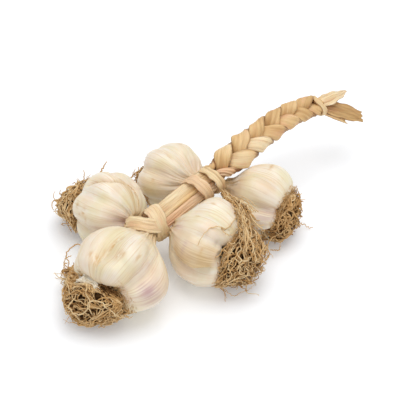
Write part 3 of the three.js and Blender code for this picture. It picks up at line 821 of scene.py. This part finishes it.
def add_mat(name, bulb, seed):
    turn = full_turn(CORE_COLUMNS)[None]
    polar = np.linspace(0.02, math.pi - 0.02, CORE_ROWS)[:, None]
    core = from_bulb(bulb, on_mat(bulb, mat_directions(polar, turn), CORE_LAYER))
    core = (core, grid_polygons(CORE_ROWS, CORE_COLUMNS), {})
    # The core is painted shade seen through the gaps between the roots.
    add_piece(f"{name}_mat_core", [core], CORE_SHADE, [f"roots_{name}"])
    count = bulb["mat"]["roots"]
    parts = [root_part(tangled_roots(bulb, count, seed), bulb)]
    parts.append(root_part(stray_roots(bulb, count // 5, seed + 50), bulb))
    parts += [root_part(lone_root(*root)) for root in LOOSE_ROOTS[name]]
    for radius, places in OVER_SKINS.get(name, ()):
        parts.append(root_part(lone_root(radius, 0.85, over_skin(bulb, places))))
    if name == "right_front":
        path = np.vstack([over_skin(bulb, TUFT_ON_SKIN), TUFT_TO_WRAP])
        parts.append(root_part(root_bundle(path, 78, seed + 7, (8, 2.2), 0.4)))
        path = np.vstack([MAT_TO_TUFT, path[-5:]])
        parts.append(root_part(root_bundle(path, 34, seed + 8, (7, 2.4), 0.4, 2.2)))
    add_piece(f"{name}_roots", parts, ROOT)
    fuzz = root_part(root_fuzz(bulb, bulb["mat"].get("hairs", HAIRS), seed + 90), bulb, HAIR_SIDES)
    add_piece(f"{name}_fuzz", [fuzz], ROOT)


# ---- Leaf straps ----

spine_points = centripetal(SPINE, np.linspace(0, 1, 4001))
spine_tangents = unit(np.gradient(spine_points, axis=0))


def spine_at(x):
    """Points and tangents of the stems' line at places along X."""
    def pick(values):
        return np.stack([np.interp(x, spine_points[:, 0], column) for column in values.T], -1)

    return pick(spine_points), unit(pick(spine_tangents))


def bundle_frame(tangent, roll):
    """Across and over the stems, rolled about them by an angle in degrees."""
    up = np.array([0, -math.sin(math.radians(roll)), math.cos(math.radians(roll))])
    across = unit(np.cross(up, tangent))
    return across, np.cross(tangent, across)


def strap_ends(rows, columns):
    """Faces over the two ends of a strap, each from its upper to its lower side."""
    quarter = columns // 4
    k = np.arange(1 - quarter, quarter - 1)
    quads = np.stack([k, k + 1, 2 * quarter - k - 1, 2 * quarter - k], -1) % columns
    corners = np.array([[-quarter, 1 - quarter, -quarter - 1], [quarter - 1, quarter, quarter + 1]]) % columns
    last = (rows - 1) * columns
    return [quads[:, ::-1], corners[:, ::-1], quads + last, corners + last]


def strap(line, face, half_width, half_thickness, seed, columns, grooves, folds, fullness,
          tone=0.5, wear_and_shade=0, ragged=0, uneven=0):
    """A closed leaf strap along a line, as a part for add_piece. Face is where its flat side looks, grooves
    is the depth of its fibres, and a fold is (place across from -1 to 1, depth, side)."""
    rows = len(line)
    gone = np.concatenate([[0], np.cumsum(np.linalg.norm(np.diff(line, axis=0), axis=1))])
    tangent = unit(np.gradient(line, axis=0))
    across = unit(np.cross(tangent, face))
    over = np.cross(across, tangent)
    turn = full_turn(columns)
    place, rise = (np.sign(share) * np.abs(share) ** (2 / fullness) for share in (np.sin(turn), np.cos(turn)))
    half_width = (half_width * (1 + uneven * waves(seed + 9, 0.25, 0.9, 6)(gone)))[:, None]
    along, side, top = gone[:, None], place * half_width, np.sign(rise)
    grid = paths_from(line, (across, side), (over, rise * np.broadcast_to(half_thickness, rows)[:, None]))
    relief = grooves * waves(seed, (1.5, 0.01), (5, 0.09), 12)(side + 40 * top, along)
    relief = relief * (1 - 0.6 * np.abs(place) ** 4)
    # Wear and painted shade: darker towards the strap's edges and in its folds.
    creases = 0.5 * smooth(np.abs(place), 0.86, 1) * np.ones_like(side)
    for centre, depth, which in folds:
        wander = centre + 0.12 * waves(seed + 7, 0.03, 0.09, 5)(along)
        groove = np.exp(-(((place - wander) * half_width / 0.5) ** 2)) * (top == which)
        depth = np.broadcast_to(depth, rows)[:, None]
        relief = relief - depth * groove
        creases = np.maximum(creases, np.minimum(0.7 * depth, 0.5) * groove)
    grid = raised(grid, relief)
    if ragged:
        torn = ragged * (0.5 + 0.5 * waves(seed + 3, 0.7, 2, 6)(side[-1]))
        end = smooth(np.linspace(0, 1, rows), 0.75, 1)[:, None]
        grid = grid - tangent[-1] * (end * torn[None])[..., None]
    mottling = 0.09 * waves(seed + 5, (0.05, 0.02), (0.3, 0.1), 6)(side, along)
    attributes = dict(
        grain=np.stack(np.broadcast_arrays(side, 3 * top * np.ones_like(side), along), -1),
        tone=np.broadcast_to(tone, rows)[:, None] + mottling,
        wear_and_shade=np.clip(wear_and_shade + creases, 0, 1),
    )
    return grid, grid_polygons(rows, columns, capped=False) + strap_ends(rows, columns), attributes


# Each stem leaf: start and end along X, distance aside of the stems' line and above it, half width, half
# thickness, roll in degrees, and tone.
STEMS = {
    "top": (-36, 10, 1.8, 1.6, 5.6, 2.2, 12, 0.5),
    "front": (-35, 9.6, -5.2, -2.2, 3.2, 2.4, 42, 0.84),
    "under": (-36, 10, 1.6, -3.8, 4.8, 2.1, 8, 0.3),
}
STEM_FOLDS = [(-0.66, 0.3, 1), (-0.36, 0.2, 1), (-0.08, 0.4, 1), (0.2, 0.25, 1), (0.5, 0.35, 1),
              (0.1, 0.5, -1)]


def add_stems():
    for i, (name, values) in enumerate(STEMS.items()):
        start, end, aside, above, half_width, half_thickness, roll, tone = values
        point, tangent = spine_at(np.linspace(start, end, 60))
        across, over = bundle_frame(tangent, 0)
        line = point + across * aside + over * above
        face = bundle_frame(tangent, roll)[1]
        part = strap(line, face, half_width, half_thickness, 40 + i, 64, 0.14, STEM_FOLDS, 2.6, tone)
        add_piece(f"stem_{name}", [part], LEAF, [f"stem_leaf_{name}"])


# Each wrap: place along X, half width, half the inside across and up, shift aside and up, shifts along X of
# its near side, far side, top and bottom, tone, and folds.
WRAPS = {
    "wrap_first": (-34.4, 5, 8.8, 11, -0.3, -1.2, (-2.4, 0, -0.5, 0.6), 0.62, [(0.4, 0.1, 1)]),
    "wrap_second": (-1, 4, 9, 6.9, -0.6, -0.8, (2, -2, 0.8, 0), 0.84, [(0.25, 0.24, 1), (-0.5, 0.1, 1)]),
    "wrap_third": (11.5, 3.3, 9, 7.4, -0.6, -1.2, (0, 0, -0.6, 0), 0.56, [(-0.3, 0.4, 1)]),
    "end_tie": (109.5, 1.8, 6.6, 4.4, 0, 0, (1.2, 0, -2.4, 1.5), 0.3, [(0.1, 0.3, 1)]),
}
WRAP_START = -2.6
WRAP_TURNS = 1.12


def add_wraps():
    """Each wrap starts under the bundle and laps over its own start."""
    for i, (name, values) in enumerate(WRAPS.items()):
        x, half_width, inside_across, inside_up, aside, above, shifts, tone, folds = values
        point, tangent = spine_at(x)
        across, over = bundle_frame(tangent, 0)
        *lapping, end = (WRAP_START + 2 * math.pi * turns for turns in (0.9, 1.05, WRAP_TURNS))
        turn = np.linspace(WRAP_START, end, 120)
        lay = 0.65 + 0.9 * smooth(turn, *lapping) + 0.3 * waves(80 + i, 1, 3, 5)(turn)
        sides = (-np.cos(turn), np.cos(turn), np.sin(turn), -np.sin(turn))
        shift = sum(amount * np.maximum(0, share) ** 1.5 for amount, share in zip(shifts, sides))
        cos, sin = np.cos(turn)[:, None], np.sin(turn)[:, None]
        lay = lay[:, None]
        line = (point + tangent * shift[:, None] + across * (cos * (inside_across + lay) + aside)
                + over * (sin * (inside_up + lay) + above))
        face = unit(across * (cos / inside_across) + over * (sin / inside_up))
        part = strap(line, face, half_width, 0.72, 50 + i, 48, 0.14, folds, 3, tone, uneven=0.1)
        add_piece(f"leaf_{name}", [part], LEAF, [name])


def through(values, t):
    """Values that are evenly spaced along t from 0 to 1, joined smoothly."""
    i, w = spans(values, t)
    values = np.array(values)
    return lerp(values[i], values[i + 1], smooth(w[:, 0], 0, 1))


TIP_FOLDS = [(-0.45, 0.5, 1), (0.05, 0.3, 1), (0.5, 0.5, 1)]
# Each single leaf: a point behind its flat side, the height of its ripples, how ragged its end is, its path,
# and its half widths along that.
LEAVES = {
    "crossing_leaf": dict(
        behind=(-45, 17, 26), ripple=0, tone=0.6, ragged=0,
        path=[(-52.4, 13.6, 35.6), (-52, 9.6, 38.6), (-50.8, 4.9, 40.6), (-47.8, 0.4, 40.2),
              (-43.4, -2, 37.8), (-38, -3.6, 34.8)],
        half_widths=(2.6, 4.3, 4.4, 4.5, 4.8, 4), folds=[(-0.35, 0.1, 1), (0.45, 0.14, 1)],
    ),
    "tip_leaf_upper": dict(
        behind=(125, 0, 0), ripple=0.3, tone=0.76, ragged=0.3,
        path=[(111.6, -3.6, 48.6), (118, -5, 49.4), (128, -5.4, 48), (139, -4.8, 45.4)],
        half_widths=(4.2, 5.6, 4.4, 0.9),
    ),
    "tip_leaf_lower": dict(
        behind=(120, 10, 0), ripple=1.2, tone=0.1, ragged=0.9,
        path=[(111.6, -5.4, 46.6), (118, -9.8, 44.6), (127.5, -16, 39.9), (138, -22.8, 33.2)],
        half_widths=(2.6, 5.8, 6.6, 4.2), wear_and_shade=0.14,
    ),
    "tip_leaf_strip": dict(
        behind=(120, 10, 0), ripple=0.5, tone=0.4, ragged=1.2,
        path=[(111.4, -7.2, 44.8), (115.2, -10.8, 42.8), (119.5, -15, 39.4), (123.8, -20, 35.2)],
        half_widths=(2.2, 3.6, 3.6, 1.8),
    ),
}


FLAKE_SEED = 520


def add_flakes():
    """Flakes of old skin along the upper rim of the end bulb's mat."""
    bulb = BULBS["end"]
    rng = np.random.default_rng(FLAKE_SEED)
    parts = []
    for seed in range(FLAKE_SEED, FLAKE_SEED + 20):
        sweep = np.linspace(0, rng.uniform(0.14, 0.34), 12)
        turn = rng.uniform(-0.28, 0.12) + sweep
        polar = rng.uniform(1.15, 1.6) + rng.normal(0, 0.3) * sweep
        place = mat_directions(polar, turn)
        low, high = (from_bulb(bulb, on_mat(bulb, place, layer)) for layer in (1, 1.1))
        outward = unit(high - low)
        lift = rng.uniform(0.3, 1.3) + 0.5 * waves(seed, 10, 30, 4)(sweep)
        face = unit(outward + rng.normal(0, 0.25, 3))
        parts.append(strap(low + outward * lift[:, None], face, rng.uniform(1.1, 2.3), 0.16, seed, 28,
                           0.14, (), 2.5, ragged=0.9, uneven=0.2))
    add_piece("end_flakes", parts, FLAKE)


def add_leaves():
    for i, (name, leaf) in enumerate(LEAVES.items()):
        t = np.linspace(0, 1, 64)
        line = centripetal(leaf["path"], t)
        away = unit(line - np.array(leaf["behind"]))
        line = line + away * (leaf["ripple"] * np.sin(0.55 * line[:, 0] + 0.9 * line[:, 1]))[:, None]
        half_thickness = 0.6 - 0.38 * smooth(t, 0.75, 1)
        part = strap(line, away, through(leaf["half_widths"], t), half_thickness, 70 + i, 56, 0.2,
                     leaf.get("folds", TIP_FOLDS), 2.8, leaf["tone"], leaf.get("wear_and_shade", 0), leaf["ragged"],
                     0.04)
        add_piece(f"dry_{name}", [part], LEAF, [name])


# ---- The plait ----

# Each strand's tone: its mean, and the height, rate and phase of its change along the plait.
STRAND_TONES = [(0.4, 0.08, 9, 0), (0.44, 0.12, 14, 2), (0.46, 0.12, 11, 4)]
ROSY_STRAND = 1


def strand_tone(strand, t):
    """The plait is darker at its foot and towards its tip, and one strand starts rosy."""
    mean, height, rate, phase = STRAND_TONES[strand]
    shade = 0.08 * (1 - smooth(t, 0.3, 0.42)) + 0.26 * smooth(t, 0.56, 0.8) - 0.03
    rosy = 0.5 * (strand == ROSY_STRAND) * (1 - smooth(t, 0.14, 0.22))
    return mean + height * np.sin(rate * t + phase) - shade + rosy


def add_plait():
    """Three strands that lift over each other in turn, and fold over at the plait's sides."""
    length = PLAIT["end"] - PLAIT["start"]
    foot, tip = PLAIT["bight"]
    tighter = math.log(tip / foot)
    t = np.linspace(0, 1, 330)
    point, tangent = spine_at(lerp(PLAIT["start"], PLAIT["end"] + 2, t))
    across, over = bundle_frame(tangent, PLAIT["roll"])
    spread = (lerp(PLAIT["gather"], 1, smooth(t * length, 0, PLAIT["gather_length"]))
              * lerp(PLAIT["tip_gather"], 1, smooth((1 - t) * length, 0.5, PLAIT["tip_length"])))
    bights = PLAIT["first"] + length / foot * (1 - np.exp(-tighter * t)) / tighter
    for strand in range(3):
        phase = 2 * math.pi / 3 * (bights + strand)
        above = np.sin(2 * phase)
        twisted = (strand == ROSY_STRAND) * (1 - smooth(t, 0.12, 0.2))
        uneven, lifted, turned_over = (waves(seed + strand, 18, 60, 8)(t) for seed in (130, 140, 150))
        sway = spread * lerp(*PLAIT["sway"], t) * np.sin(phase) * (1 - 0.25 * twisted)
        lift = lerp(*PLAIT["lift"], t) * above + 0.35 * lifted
        line = point + across * sway[:, None] + over * lift[:, None]
        fold = math.pi / 2 * (1 - np.cos(phase)) + 0.16 * turned_over
        face = over * np.cos(fold)[:, None] + across * np.sin(fold)[:, None]
        half_width = lerp(*PLAIT["half_width"], t) * spread * (1 + 0.12 * above + 0.08 * uneven)
        half_width = half_width * (1 - 0.42 * twisted)
        half_thickness = lerp(*PLAIT["half_thickness"], t) * spread**0.3 * (1 + 0.2 * above)
        # Painted shade: a strand is darker where it runs under the others.
        shade_under_strands = 0.85 * smooth(-above, -0.4, 0.3)
        folds = [(0.5, 0.14 + 0.3 * twisted, 1), (-0.2, 0.1 + 0.6 * twisted, 1),
                 (-0.3, 0.16 + 0.6 * twisted, -1), (0.35, 0.1 + 0.3 * twisted, -1)]
        part = strap(line, face, half_width, half_thickness, 90 + 9 * strand, 56, 0.08, folds, 2.1,
                     strand_tone(strand, t), shade_under_strands[:, None])
        add_piece(f"plait_strand_{strand + 1}", [part], LEAF, [f"strand_{strand + 1}"])


# ---- The whole braid ----

for index, (bulb_name, bulb) in enumerate(BULBS.items()):
    add_bulb(bulb_name, bulb, 11 + 7 * index)
    add_mat(bulb_name, bulb, 300 + index)
add_flakes()
add_stems()
add_wraps()
add_leaves()
add_plait()


# ---- Floor, light and camera ----

def add_floor():
    mesh = bpy.data.meshes.new("floor")
    mesh.from_pydata([(-3, -3, 0), (3, -3, 0), (3, 3, 0), (-3, 3, 0)], [], [(0, 1, 2, 3)])
    n = Nodes("pale_floor")
    mesh.materials.append(n.finish(Base_Color=srgb(243, 245, 248), Roughness=0.9, Specular_IOR_Level=0.1,
                                   Emission_Color=(0.96, 0.98, 1, 1), Emission_Strength=0.15))
    floor = add_object("floor", mesh)


def aim(thing, location, direction):
    thing.location = location
    thing.rotation_mode = "QUATERNION"
    thing.rotation_quaternion = direction.to_track_quat("-Z", "Y")


def add_softbox(name, location, size, power):
    light = bpy.data.lights.new(name, "AREA")
    light.size = size
    light.energy = power
    aim(add_object(name, light), location, -Vector(location))


CAMERA_AZIMUTH = -45
CAMERA_ELEVATION = 43
CAMERA_LENS = 117.7
CAMERA_DISTANCE = 0.85
LOOKED_AT = np.array([0, 0, 30])


def add_camera():
    azimuth, elevation = math.radians(CAMERA_AZIMUTH), math.radians(CAMERA_ELEVATION)
    level = math.cos(elevation)
    back = Vector((math.sin(azimuth) * level, -math.cos(azimuth) * level, math.sin(elevation)))
    camera = bpy.data.cameras.new("camera")
    camera.lens = CAMERA_LENS
    camera.sensor_width = 36
    camera.clip_start, camera.clip_end = 0.05, 10
    viewer = add_object("camera", camera)
    aim(viewer, Vector((LOOKED_AT - PLAN_MIDDLE) * 0.001) + back * CAMERA_DISTANCE, -back)
    bpy.context.scene.camera = viewer


add_floor()
add_softbox("key", (0.1, 0, 1.05), 0.9, 6.5)
add_softbox("fill", (-0.5, -0.8, 0.8), 1.2, 1.4)
add_camera()
world = bpy.data.worlds.new("studio")
world.use_nodes = True
sky = world.node_tree.nodes["Background"].inputs
sky["Color"].default_value = (1, 1, 1, 1)
sky["Strength"].default_value = 0.6
bpy.context.scene.world = world
bpy.context.scene.view_settings.view_transform = "Standard"
